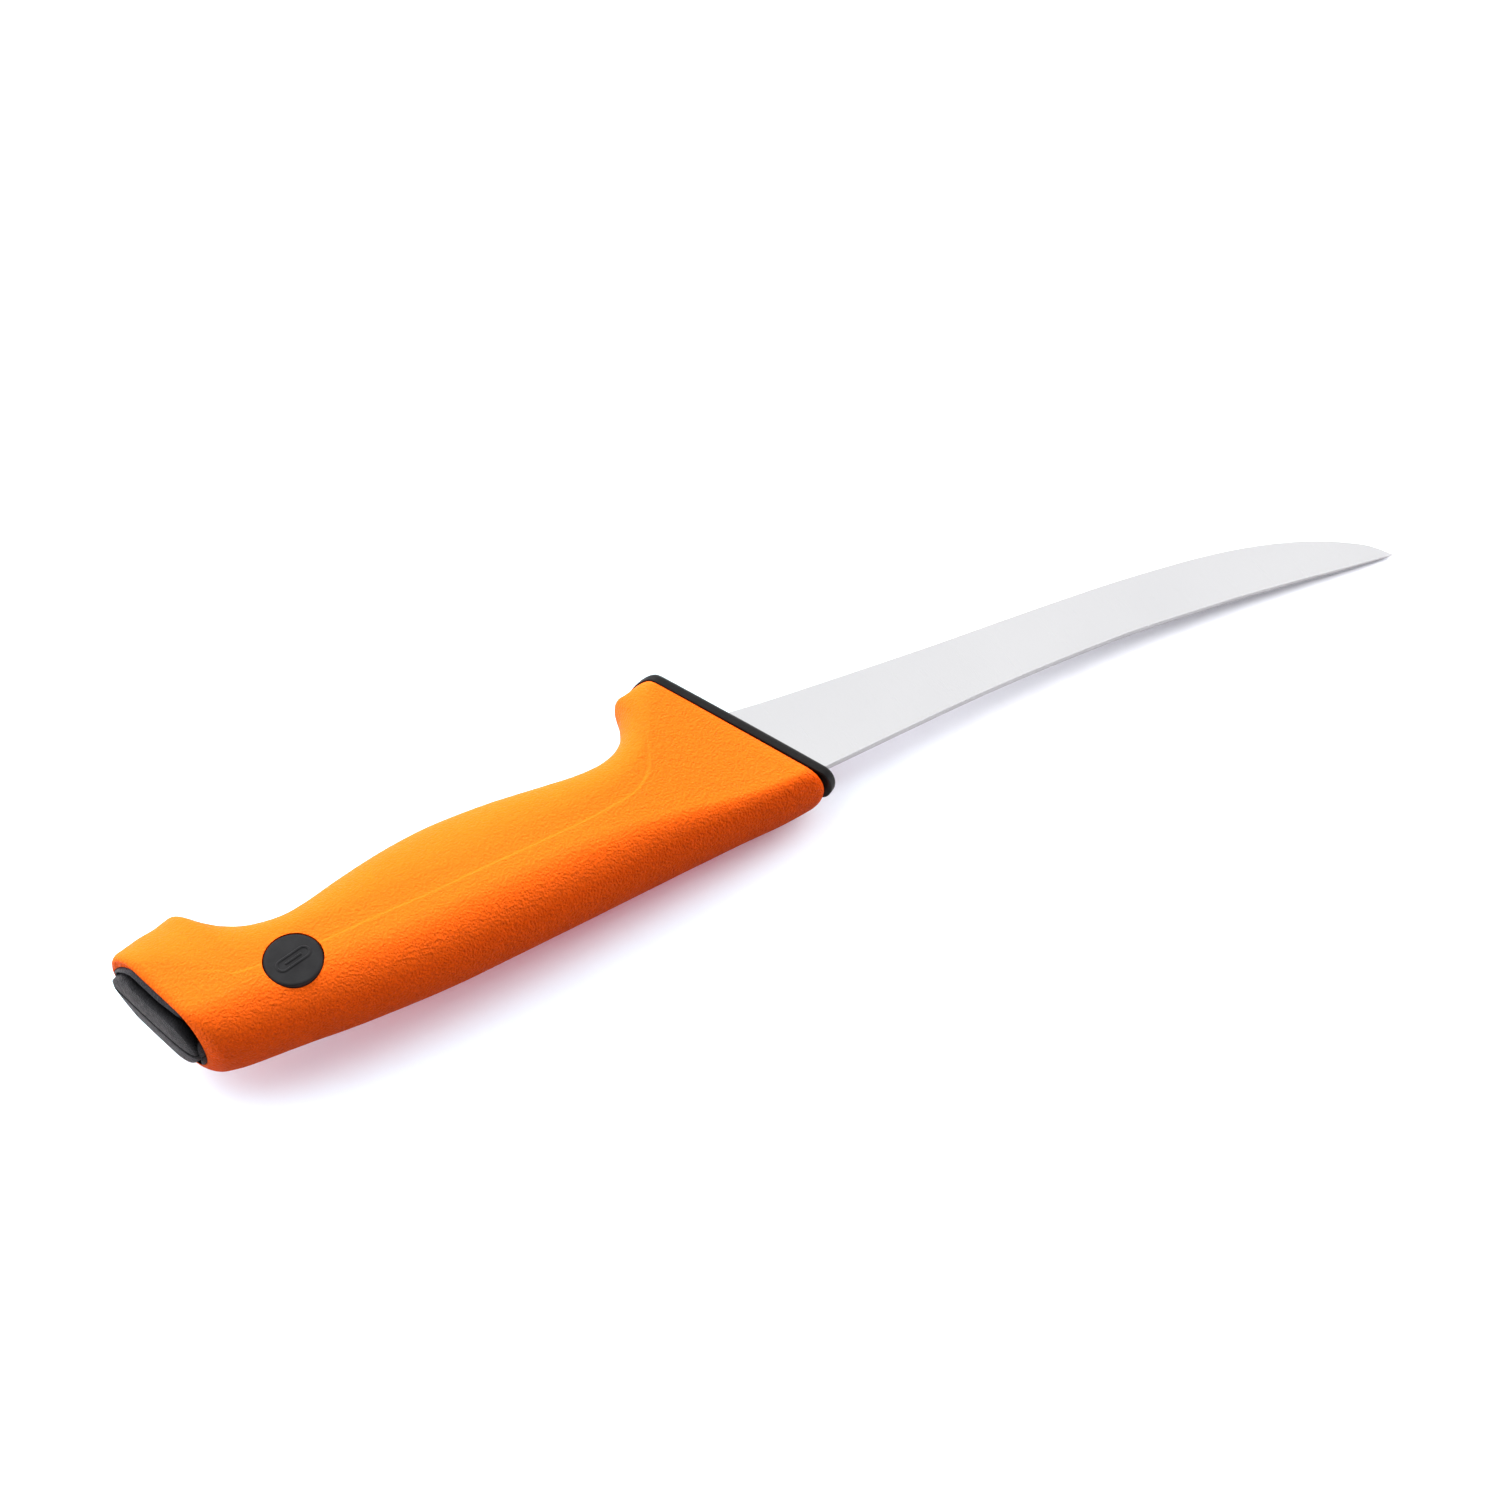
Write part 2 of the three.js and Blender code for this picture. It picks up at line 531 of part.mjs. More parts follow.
const buildCap = () => {
  const section = sectionAt(X_BUTT);
  const rim = sectionRing(section, CAP_EDGE, CAP_POINT);
  const middleW = (section.spineW + section.fingerW) / 2;
  // Outer face: shrinking rings on a crown that falls away to both ends.
  const crownRing = (scale) => rim.map(([rimW, rimZ]) => {
    const w = middleW + (rimW - middleW) * (0.7 + 0.3 * scale);
    const z = rimZ * scale;
    const fall = CAP_FALL.share * (Math.abs(z) / CAP_FALL.half) ** CAP_FALL.power;
    const height = (1 - fall) * interpolate(CAP_CROWN, w, 1);
    return placePoint(X_BUTT, [w, z], section.slant, -height);
  });
  const faceAndFlange = loft([
    ...[0.05, 0.3, 0.58, 0.8, 0.97].map(crownRing),
    ...insetRings(CAP_EDGE, X_BUTT + 0.1, X_FLANGE - GAP, CAP_POINT),
  ]);
  return faceAndFlange
    .add(loft(insetRings(SKIN, X_BUTT + 1.7, X_CORE_END - 2 * GAP)))
    .add(capSpigot(CAP_SPIGOT_REACH, 0));
};

// ---------------------------------------------------------------- assembly
const meshOf = (name, manifold, material) => {
  const { vertProperties, triVerts } = manifold.getMesh();
  const geometry = new THREE.BufferGeometry();
  geometry.setAttribute(
    'position', new THREE.BufferAttribute(new Float32Array(vertProperties), 3));
  geometry.setIndex(new THREE.BufferAttribute(new Uint32Array(triVerts), 1));
  geometry.computeVertexNormals();
  const mesh = new THREE.Mesh(geometry, new THREE.MeshStandardMaterial(material));
  mesh.name = name;
  return mesh;
};

const handle = new THREE.Group();
handle.name = 'handle';
handle.add(
  meshOf('handle_core', buildCore(), MATERIALS.core),
  meshOf('grip_overmould', buildGrip(), MATERIALS.grip),
  meshOf('butt_cap', buildCap(), MATERIALS.cap),
  meshOf('emblem_disc_left', buildDisc(1), MATERIALS.disc),
  meshOf('emblem_disc_right', buildDisc(-1), MATERIALS.disc),
);

const knife = new THREE.Group();
knife.name = 'boning_knife';
knife.position.set(-CENTRE[0], -CENTRE[1], 0);
knife.add(meshOf('blade', buildBlade(), MATERIALS.blade), handle);

export default knife;
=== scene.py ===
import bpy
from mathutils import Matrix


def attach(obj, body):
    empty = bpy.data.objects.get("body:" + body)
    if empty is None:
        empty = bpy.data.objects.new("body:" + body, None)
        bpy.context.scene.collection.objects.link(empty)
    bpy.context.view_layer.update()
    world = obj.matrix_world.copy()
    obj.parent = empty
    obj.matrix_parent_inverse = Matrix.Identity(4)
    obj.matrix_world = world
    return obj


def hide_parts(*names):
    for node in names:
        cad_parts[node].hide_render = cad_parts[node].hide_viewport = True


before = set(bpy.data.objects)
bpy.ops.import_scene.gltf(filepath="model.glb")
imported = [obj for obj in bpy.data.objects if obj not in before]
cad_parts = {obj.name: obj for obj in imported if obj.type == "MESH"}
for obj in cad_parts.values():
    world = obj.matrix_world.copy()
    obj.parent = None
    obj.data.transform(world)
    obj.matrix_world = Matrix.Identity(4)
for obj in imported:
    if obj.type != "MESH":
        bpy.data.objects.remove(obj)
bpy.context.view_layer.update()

import math
from types import SimpleNamespace

import bpy
import numpy as np
from mathutils import Matrix, Vector

# Boning knife with an orange soft grip, lying on its right flank.
# x runs from the butt (-) to the tip (+), y from the spine (-) to the finger side and
# cutting edge (+), and z up through the left flank. The blade is centred on z = 0.
# Shapes are in millimetres from a working point near the guard; meshes are in metres.
MM = 0.001
DEG = math.pi / 180.0
CENTRE = np.array([5.80, -0.56, 0.0])   # centre of the overall box, from the working point

# ---------------------------------------------------------------- driving dimensions
# handle: its sections are slanted planes through the axis y = AXIS_Y
SLANT_BUTT, SLANT_GUARD = 17.0, 29.0    # degrees
AXIS_Y = -5.0
X_BUTT, X_FRONT = -131.8, 3.29          # on the axis
X_CORE_END = -122.5
SKIN, GAP = 2.4, 0.15                   # depth of the core below the surface, and its clearance
WALL = SKIN - GAP
BUTT_ROUND, FRONT_ROUND = 2.1, 3.2      # lengths of the rounded grip ends
# guard plate
PLATE_T, PLATE_INSET, PLATE_CROWN, PLATE_GAP = 2.3, 0.4, 1.65, 0.32
X_GRIP_FRONT = X_FRONT - (PLATE_T + PLATE_GAP) / math.cos(SLANT_GUARD * DEG)
# butt cap: CAP_POINT is the power that draws its finger end to a point
CAP_INSET, CAP_GAP, CAP_POINT = 1.35, 0.12, 1.5
X_FLANGE = X_BUTT + 2.6
# round discs
DISC_X, DISC_Y, DISC_R, DISC_TOP, DISC_DEPTH = -106.1, -9.5, 6.0, 10.3, 1.9
DISC_ROUND = 0.45
SPIGOT_R, SPIGOT_LEN = 2.6, 4.2
BADGE_SLANT = 12 * DEG
BADGE_RIDGES = [(2.45, 1.25), (1.7, 0.0)]   # half length of centre line, distance from it
RIDGE_HEIGHT = 0.20
# blade and tang
BLADE_T, TIP_T, EDGE_T, BEVEL = 1.7, 0.9, 0.34, 0.75
X_TAPER, TAPER_LEN = 14, 136            # where the blade starts to thin, and over what length
TANG_T, TANG_END = 1.7, -96.0
BLADE_GAP = 0.12

# Side outlines (x, y)
SPINE = [
    (-137.0, -3.5), (-132.0, -10.5), (-130.0, -14.4), (-128.2, -16.8), (-126.0, -18.5),
    (-123.0, -19.5), (-118.8, -20.1), (-108.0, -21.0), (-98.8, -21.9), (-86.0, -22.6),
    (-76.0, -22.8), (-65.8, -22.5), (-52.0, -22.0), (-37.7, -21.35), (-23.4, -20.75),
    (-12.0, -20.45), (-2.0, -20.4), (4.4, -20.3), (7.4, -19.9), (9.6, -19.2), (12.0, -18.3),
    (16.0, -16.5),
]
FINGER = [
    (-144.0, 10.4), (-139.0, 11.9), (-136.4, 12.9), (-133.6, 13.9), (-130.4, 15.0),
    (-127.2, 15.7), (-124.8, 16.5), (-123.4, 16.9), (-122.2, 16.7), (-120.9, 15.4),
    (-119.4, 13.5), (-117.6, 11.6), (-115.6, 9.8), (-112.0, 7.5), (-108.0, 6.1),
    (-103.6, 5.4), (-98.8, 6.1), (-91.4, 8.1), (-84.0, 9.8), (-76.9, 11.0), (-69.8, 11.6),
    (-63.2, 11.5), (-56.5, 11.0), (-50.1, 10.1), (-43.7, 9.0), (-39.0, 8.2), (-35.0, 7.8),
    (-31.5, 7.8), (-28.8, 8.3), (-26.6, 9.2), (-24.8, 10.5), (-23.4, 12.0), (-22.4, 13.7),
    (-21.6, 15.5), (-21.1, 17.3), (-20.8, 19.2), (-20.2, 20.7), (-18.9, 21.7), (-17.2, 22.0),
    (-15.6, 22.2), (-14.2, 22.8), (-12.7, 23.5), (-11.0, 24.2), (-6.0, 26.0),
]
# where the flank starts to round over to the finger side
CREASE = [
    (-145.0, 6.0), (-136.0, 4.5), (-128.0, 1.0), (-122.0, -3.0), (-117.0, -5.4), (-110.0, -5.2),
    (-100.0, -3.6), (-91.5, -3.9), (-80.6, -4.0), (-69.9, -4.5), (-58.6, -4.4), (-47.3, -4.2),
    (-35.4, -3.1), (-27.1, -0.6), (-19.7, 5.5), (-16.4, 11.0), (-13.4, 15.2), (-9.8, 18.2),
    (-4.0, 21.0),
]
# fine step line along each flank
STEP_LINE = [
    (-145.0, 1.0), (-130.0, -1.5), (-121.0, -4.7), (-117.8, -7.2), (-114.5, -7.8),
    (-106.0, -8.5), (-98.3, -8.9), (-93.6, -8.8), (-85.6, -8.7), (-75.4, -8.8), (-64.3, -8.5),
    (-53.1, -8.4), (-41.6, -8.1), (-35.3, -7.5), (-29.4, -6.5), (-26.5, -5.2), (-23.7, -2.9),
    (-21.6, 0.7), (-19.9, 4.6), (-18.5, 8.2), (-17.0, 13.0), (-13.0, 20.0), (-4.0, 30.0),
    (2.0, 40.0),
]
STEP_DEPTH, STEP_WIDTH = 0.30, 0.85
# (x, strength of the step)
STEP_AMOUNT = [(-125, 0.0), (-121, 0.5), (-117, 1.0), (-19, 1.0), (-15, 0.8), (-11, 0.0)]
# (x, length of the spine rounding, half thickness at its end, half thickness at the crease)
SECTION = [
    (-134, 8.0, 9.9, 9.9), (-128, 10.5, 10.1, 10.1), (-118, 12.0, 10.3, 10.3),
    (-60, 12.0, 10.3, 10.3), (-48, 11.4, 10.3, 10.3), (-36, 10.0, 9.8, 10.3),
    (-26, 8.2, 8.9, 9.9), (-17, 6.4, 7.7, 9.5), (-9, 5.2, 7.1, 9.3), (0, 4.6, 6.6, 9.2),
    (6, 4.4, 6.2, 9.1),
]
# Cutting edge and back of the blade (x, y)
EDGE = [
    (-6.5, 9.93), (2.0, 8.8), (14.0, 7.2), (45.0, 3.9), (64.4, 2.2), (83.8, 0.4), (93.4, -0.7),
    (103.0, -2.1), (112.4, -3.7), (121.6, -5.9), (130.2, -8.8), (138.3, -12.6), (145.5, -17.5),
    (148.5, -20.8), (149.8, -23.0),
]
BACK = [
    (-6.5, -14.1), (2.0, -13.9), (14.0, -13.6), (45.0, -12.9), (64.4, -13.1), (83.8, -14.0),
    (93.4, -14.9), (103.0, -16.1), (112.4, -17.3), (121.6, -18.8), (130.2, -20.3),
    (138.3, -21.8), (145.5, -23.0), (148.5, -23.45), (150.0, -23.6),
]
# Tang, and the slightly larger slot for it in the core (x, y)
TANG = [
    (-3.0, 2.6), (-12.0, 0.2), (-20.0, -1.6), (-60.0, -3.2), (TANG_END + 4, -4.2),
    (TANG_END, -7.2), (TANG_END, -11.2), (TANG_END + 4, -14.0), (-60.0, -14.2),
    (-20.0, -14.2), (-3.0, -14.0),
]
TANG_SLOT = [
    (-2.88, 2.69), (-12.0, 0.33), (-20.0, -1.48), (-60.0, -3.08), (TANG_END + 4, -4.07),
    (TANG_END - BLADE_GAP, -7.1), (TANG_END - BLADE_GAP, -11.25), (TANG_END + 4, -14.13),
    (-60.0, -14.33), (-20.0, -14.33), (-2.88, -14.13),
]
# Butt cap heights (place along the section, height behind the butt plane)
CAP_CROWN = [
    (-11.2, 1.3), (-10.3, 1.9), (-8.6, 2.15), (-6.2, 2.4), (-3.7, 2.55), (1.6, 2.65),
    (7.3, 2.65), (12.0, 2.6), (14.5, 2.5), (15.8, 2.25), (16.8, 1.6), (18.0, 0.4),
]
CAP_STRIP = [
    (-10.7, 1.2), (-10.1, 0.9), (-9.2, -0.4), (-7.5, -0.7), (-4, 0.3), (1, 0.75), (13, 0.75),
    (17, 0.25),
]
# rings of the cap, from the seam on z = 0 (0) to the rim (1)
CAP_RINGS = [
    0.003, 0.008, 0.013, 0.018, 0.024, 0.032, 0.042, 0.06, 0.09, 0.14, 0.2, 0.27, 0.34, 0.41,
    0.48, 0.54, 0.60, 0.65, 0.69, 0.71, 0.725, 0.738, 0.75, 0.762, 0.774, 0.786, 0.798, 0.81,
    0.822, 0.834, 0.846, 0.86, 0.88, 0.90, 0.92, 0.94, 0.955, 0.97, 0.985, 0.995, 1.0,
]

# Where a section ring has its points
SPINE_ANGLES = np.linspace(0, 90, 19) * DEG
FLAT_SHARES = np.linspace(0, 1, 11)[1:-1]
FINGER_ANGLES = np.array([
    90, 89.5, 89, 88.5, 88, 87.4, 86.8, 86.2, 85.5, 84.5, 83, 81, 78.5, 75.5, 72, 68, 64, 60,
    56, 52, 47, 42, 37, 32, 27, 22, 17, 12.5, 8, 4, 0.0]) * DEG
NEAR_STEP = np.array([
    -0.5, -0.2, -0.05, 0.05, 0.15, 0.25, 0.35, 0.45, 0.55, 0.65, 0.75, 0.85, 1.05, 1.4])


# ---------------------------------------------------------------- curves
def dense(points, count):
    """Smooth curve through the points (Catmull-Rom), in count steps."""
    pts = np.array(points, float)
    last = len(pts) - 1
    place_on = np.linspace(0, 1, count + 1) * last
    i = np.minimum(place_on.astype(int), last)
    t = (place_on - i)[:, None]
    before, start = pts[np.maximum(i - 1, 0)], pts[i]
    end, after = pts[np.minimum(i + 1, last)], pts[np.minimum(i + 2, last)]
    v0, v1 = (end - before) * 0.5, (after - start) * 0.5
    return ((2 * start - 2 * end + v0 + v1) * t ** 3
            + (-3 * start + 3 * end - 2 * v0 - v1) * t ** 2 + v0 * t + start)


SPINE_CURVE = dense(SPINE, 1500)
FINGER_CURVE = dense(FINGER, 3000)
CREASE_CURVE = dense(CREASE, 1500)
STEP_CURVE = dense(STEP_LINE, 1500)


def table(rows, x, column=1):
    rows = np.array(rows, float)
    return np.interp(x, rows[:, 0], rows[:, column])


def smooth(t):
    t = np.clip(t, 0.0, 1.0)
    return t * t * (3 - 2 * t)


def sin_cos(degrees):
    return math.sin(degrees * DEG), math.cos(degrees * DEG)


def circle(count):
    return np.linspace(0, 2 * math.pi, count, endpoint=False)


# ---------------------------------------------------------------- handle sections
# A section has its own coordinates: w along the slanted plane from the axis, growing
# towards the finger side, and z.
def meet(curve, x, tilt, pick):
    """The w where a curve crosses the section plane; pick chooses among several crossings."""
    along = np.array([-math.sin(tilt), math.cos(tilt)])
    normal = np.array([math.cos(tilt), math.sin(tilt)])
    offset = curve - np.array([x, AXIS_Y])
    side = offset @ normal
    k = np.nonzero((side[:-1] <= 0) != (side[1:] <= 0))[0]
    t = side[k] / (side[k] - side[k + 1])
    return float(pick((offset[k] + (offset[k + 1] - offset[k]) * t[:, None]) @ along))


def section(x):
    share = min(1.0, max(0.0, (x - X_BUTT) / (X_FRONT - X_BUTT)))
    tilt = (SLANT_BUTT + (SLANT_GUARD - SLANT_BUTT) * share) * DEG
    return SimpleNamespace(
        tilt=tilt,
        spine=meet(SPINE_CURVE, x, tilt, np.min),
        finger=meet(FINGER_CURVE, x, tilt, np.max),
        crease=meet(CREASE_CURVE, x, tilt, np.max),
        step=meet(STEP_CURVE, x, tilt, np.max),
        spine_len=float(table(SECTION, x, 1)),
        spine_half=float(table(SECTION, x, 2)),
        finger_half=float(table(SECTION, x, 3)))


def outline(sec, inset, pointed=1.0, spine_in=0.0, finger_in=0.0, step=None):
    """Closed ring of (w, z), from the spine over the left flank and back under the right.

    step is the strength of the step line; with it the ring has extra points round the line.
    """
    w_spine, w_finger = sec.spine + inset + spine_in, sec.finger - inset - finger_in
    half_spine, half_finger = sec.spine_half - inset - spine_in, sec.finger_half - inset
    spine_len = max(0.8, sec.spine_len - inset)
    finger_len = max(0.8, w_finger - sec.crease)
    flat_start, flat_end = w_spine + spine_len, w_finger - finger_len
    w = np.concatenate([
        flat_start - spine_len * np.cos(SPINE_ANGLES),
        flat_start + (w_finger - finger_len - w_spine - spine_len) * FLAT_SHARES,
        flat_end + finger_len * np.cos(FINGER_ANGLES) ** pointed])
    z = np.concatenate([
        half_spine * np.sin(SPINE_ANGLES),
        half_spine + (half_finger - half_spine) * FLAT_SHARES,
        half_finger * np.sin(FINGER_ANGLES) ** pointed])
    if step is not None:
        at = min(max(sec.step, w_spine + 2.5), w_finger - 2.5)
        w_near = at + NEAR_STEP
        z_near = np.interp(w_near, w, z)
        on_spine, on_finger = w_near < flat_start, w_near > flat_end
        z_near[on_spine] = half_spine * np.sqrt(
            1 - ((flat_start - w_near[on_spine]) / spine_len) ** 2)
        if pointed == 1.0:
            z_near[on_finger] = half_finger * np.sqrt(
                1 - ((w_near[on_finger] - w_finger + finger_len) / finger_len) ** 2)
        w, z = np.concatenate([w, w_near]), np.concatenate([z, z_near])
        order = np.argsort(w, kind="stable")
        w, z = w[order], z[order]
        z = z - STEP_DEPTH * step * smooth((w - at) / STEP_WIDTH) * (z / half_finger) ** 2
    w = np.concatenate([w, w[-2:0:-1]])
    z = np.concatenate([z, -z[-2:0:-1]])
    return np.stack([w, z], 1)


def crown(x, z):
    """Forward bulge of the sections near the guard."""
    return PLATE_CROWN * smooth((x - X_FRONT + 15) / 12) * (1 - np.minimum(1.0, (z / 9) ** 2))


def bend(x, w):
    """Backward lean of the finger side, near the guard and near the butt."""
    near_front = smooth((x - X_FRONT + 12) / 9)
    near_butt = min(1.0, max(0.0, (X_BUTT + 7 - x) / 7))
    beyond = np.maximum(0.0, w + (X_FRONT - x) * math.sin(SLANT_GUARD * DEG) - 27.8)
    outer = np.clip((w - 9) / 9, 0, 1)
    return -near_front * np.minimum(3.6, 0.21 * beyond * beyond) - near_butt * 0.5 * outer * outer


def place(x, wz, tilt, push=0.0):
    """Section points in space; push moves them forward, square to the section plane."""
    w, z = wz[:, 0], wz[:, 1]
    ahead = push + crown(x, z) + bend(x, w)
    return np.stack([x + math.cos(tilt) * ahead - math.sin(tilt) * w,
                     AXIS_Y + math.sin(tilt) * ahead + math.cos(tilt) * w, z], 1)


def ring(x, inset, push=0.0, sec=None, **shape):
    sec = sec or section(x)
    return place(x, outline(sec, inset, **shape), sec.tilt, push)


def butt_point(x):
    """Power of the finger end's shape: round ahead of x = -118, pointed towards the butt."""
    return 1 + (CAP_POINT - 1) * float(smooth((-118 - x) / 9))


# ---------------------------------------------------------------- meshes
def loft(rings, closed=False):
    """Quads between rings of equal length. Open lofts are closed with a fan at each end."""
    size, count = len(rings[0]), len(rings)
    pos = np.concatenate(rings)
    faces = []
    for i in range(count if closed else count - 1):
        a, b = i * size, ((i + 1) % count) * size
        for j in range(size):
            k = (j + 1) % size
            faces.append((a + j, a + k, b + k, b + j))
    if not closed:
        for i, flip in ((0, True), (count - 1, False)):
            hub = len(pos)
            pos = np.vstack([pos, rings[i].mean(0)])
            for j in range(size):
                a, b = i * size + j, i * size + (j + 1) % size
                faces.append((hub, b, a) if flip else (hub, a, b))
    return pos, faces


def prism(points, thickness):
    """Flat plate of an (x, y) outline, centred on z = 0."""
    pts = np.array(points, float)
    n = len(pts)
    pos = np.concatenate([np.column_stack([pts, np.full(n, z)])
                          for z in (-thickness / 2, thickness / 2)])
    faces = [(i, (i + 1) % n, n + (i + 1) % n, n + i) for i in range(n)]
    faces += [tuple(range(n - 1, -1, -1)), tuple(range(n, 2 * n))]
    return pos, faces


def volume(pos, faces):
    total = 0.0
    for f in faces:
        for i in range(1, len(f) - 1):
            total += float(np.dot(pos[f[0]], np.cross(pos[f[i]], pos[f[i + 1]])))
    return total


def join(shells):
    """Joins closed shells into one, each with its faces pointing out."""
    all_pos, all_faces, start = [], [], 0
    for pos, faces in shells:
        if volume(pos, faces) < 0:
            faces = [tuple(reversed(f)) for f in faces]
        all_pos.append(pos)
        all_faces += [tuple(i + start for i in f) for f in faces]
        start += len(pos)
    return np.concatenate(all_pos), all_faces


def shade(mesh, sharp=38):
    """Smooth shading, with edges above the sharp angle in degrees kept hard."""
    mesh.polygons.foreach_set("use_smooth", [True] * len(mesh.polygons))
    mesh.set_sharp_from_angle(angle=sharp * DEG)


def make(name, shells, material=None, sharp=38):
    pos, faces = join(shells)
    mesh = bpy.data.meshes.new(name)
    mesh.from_pydata(((pos - CENTRE) * MM).tolist(), [], faces)
    mesh.update()
    shade(mesh, sharp)
    obj = bpy.data.objects.new(name, mesh)
    bpy.context.scene.collection.objects.link(obj)
    if material:
        mesh.materials.append(material)
    return obj


def cut(obj, cutters):
    """Subtracts cutter objects from obj and removes them."""
    for cutter in cutters:
        mod = obj.modifiers.new("cut", "BOOLEAN")
        mod.operation = "DIFFERENCE"
        mod.object = cutter
        mod.solver = "EXACT"
    bpy.context.view_layer.update()
    depsgraph = bpy.context.evaluated_depsgraph_get()
    mesh = bpy.data.meshes.new_from_object(obj.evaluated_get(depsgraph))
    old, name = obj.data, obj.data.name
    obj.modifiers.clear()
    obj.data = mesh
    bpy.data.meshes.remove(old)
    mesh.name = name
    for cutter in cutters:
        bpy.data.objects.remove(cutter)
    shade(mesh)


# ---------------------------------------------------------------- soft grip
def spread(start, end, step):
    return list(np.linspace(start, end, max(2, int(math.ceil((end - start) / step)) + 1)))


def grip_shell():
    rings = []
    # butt lip, from the recess outwards
    for inset, push in [(CAP_INSET, 2.5), (CAP_INSET, 0.5), (1.33, 0.22), (1.29, 0.08)]:
        rings.append(ring(X_BUTT, inset, push, pointed=CAP_POINT, step=0.0))
    for share in (0.0, 0.35, 0.7, 1.0):
        pointed = CAP_POINT + (1 - CAP_POINT) * share
        rings.append(ring(X_BUTT, 1.27, 0.02 * (1 - share), pointed=pointed, step=0.0))
    for angle in (10, 22, 34, 46, 58, 70, 80):
        sin, cos = sin_cos(angle)
        rings.append(ring(X_BUTT + BUTT_ROUND * (1 - cos), 1.25 * (1 - sin), step=0.0))
    # outer surface: start, end, ring spacing
    for span in [(X_BUTT + BUTT_ROUND, -124.5, 0.6), (-124, -111, 0.35), (-110.5, -30, 0.65),
                 (-29.5, -11, 0.33), (-10.6, X_GRIP_FRONT - FRONT_ROUND - 0.2, 0.4)]:
        for x in spread(*span):
            rings.append(ring(x, 0.0, step=float(table(STEP_AMOUNT, x))))
    # front rim, rounded more on the spine side
    for angle in (8, 16, 26, 36, 46, 56, 66, 76, 83, 90):
        sin, cos = sin_cos(angle)
        drop = 1 - cos
        rings.append(ring(X_GRIP_FRONT - FRONT_ROUND + FRONT_ROUND * sin, 0.40 * drop * drop,
                          spine_in=1.9 * drop, finger_in=1.6 * drop * drop, step=0.0))
    for inset, share, push in [(0.62, 1.0, 0.0), (1.8, 0.5, 0.0), (WALL, 0.0, 0.0),
                               (WALL, 0.0, -0.6)]:
        rings.append(ring(X_GRIP_FRONT, inset, push, spine_in=1.8 * share,
                          finger_in=1.5 * share, step=0.0))
    # inner wall back to the butt recess
    for x in [*np.linspace(-3, -118, 60), *np.linspace(-119, X_FLANGE + 0.3, 10)]:
        rings.append(ring(x, WALL, pointed=butt_point(x), step=0.0))
    return loft(rings, closed=True)


# ---------------------------------------------------------------- core and guard plate
def plate_shell():
    back_round, front_round = 0.25, 1.0
    sec = section(X_FRONT)
    sec.spine -= 0.2
    sec.finger += 0.7
    sec.spine_half -= 1.5
    sec.spine_len = 3.4
    # (inset, push) of the rings, from the middle of the back face to the edge of the front
    rims = [(3.9, -PLATE_T), (2.1, -PLATE_T), (PLATE_INSET + 0.3, -PLATE_T)]
    for angle in (30, 60, 90):
        sin, cos = sin_cos(angle)
        rims.append((PLATE_INSET + back_round * (1 - sin), -PLATE_T + back_round * (1 - cos)))
    rims += [(PLATE_INSET, -1.7), (PLATE_INSET, -1.2)]
    for angle in range(10, 91, 10):
        sin, cos = sin_cos(angle)
        rims.append((PLATE_INSET + front_round * (1 - cos), -front_round + front_round * sin))
    rings = [ring(X_FRONT, inset, push, sec) for inset, push in rims]
    # the front face closes on a line half as long as the plate
    face = outline(sec, PLATE_INSET + front_round)
    middle = 0.5 * (sec.spine + sec.finger)
    for share in (0.94, 0.86, 0.76, 0.64, 0.5, 0.36, 0.22, 0.1, 0.03):
        w = middle + (face[:, 0] - middle) * (0.5 + 0.5 * share)
        rings.append(place(X_FRONT, np.stack([w, face[:, 1] * share], 1), sec.tilt))
    return loft(rings)


def core_shell():
    return loft([ring(x, SKIN) for x in np.linspace(X_CORE_END, 2.4, 70)])


def heel_slot():
    """Slot that follows the blade's section at the heel, with clearance all round."""
    rings = []
    half_back, half_edge = BLADE_T / 2 + BLADE_GAP, EDGE_T / 2 + BLADE_GAP
    for (xe, ye), (xb, yb), back in zip(EDGE, BACK, (BLADE_GAP, 0, 0)):
        y_bevel = ye + (yb - ye) * (BEVEL / math.hypot(xe - xb, ye - yb))
        y_back, y_edge = yb - BLADE_GAP, ye + 0.14
        rings.append(np.array([
            [xb - back, y_back, -half_back], [xb - back, y_back, half_back],
            [xe - back, y_bevel, half_edge], [xe - back, y_edge, BLADE_GAP],
            [xe - back, y_edge, -BLADE_GAP], [xe - back, y_bevel, -half_edge]]))
    return loft(rings)


# ---------------------------------------------------------------- butt cap
def cap_heights(share, w, z):
    """Height of the cap behind the butt plane along one ring."""
    full = table(CAP_CROWN, w)
    deep = np.clip(full / 1.4, 0, 1)
    strip = np.minimum(table(CAP_STRIP, w), full + 0.2)
    tongue = (full * (1 - 0.24 * min(1.0, share / 0.75) ** 3)
              - 0.30 * deep * float(smooth((share - 0.70) / 0.05)))
    groove = np.minimum(strip, full * 0.56) - 0.85 * deep
    height = tongue + (groove - tongue) * float(smooth((share - 0.745) / 0.035))
    height = height + (strip - groove) * float(smooth((share - 0.84) / 0.04))
    if share > 0.94:
        height = strip * math.sqrt(max(0.0, 1 - ((share - 0.94) / 0.06) ** 2))
    return height - 0.45 * np.exp(-(z / 0.28) ** 2)


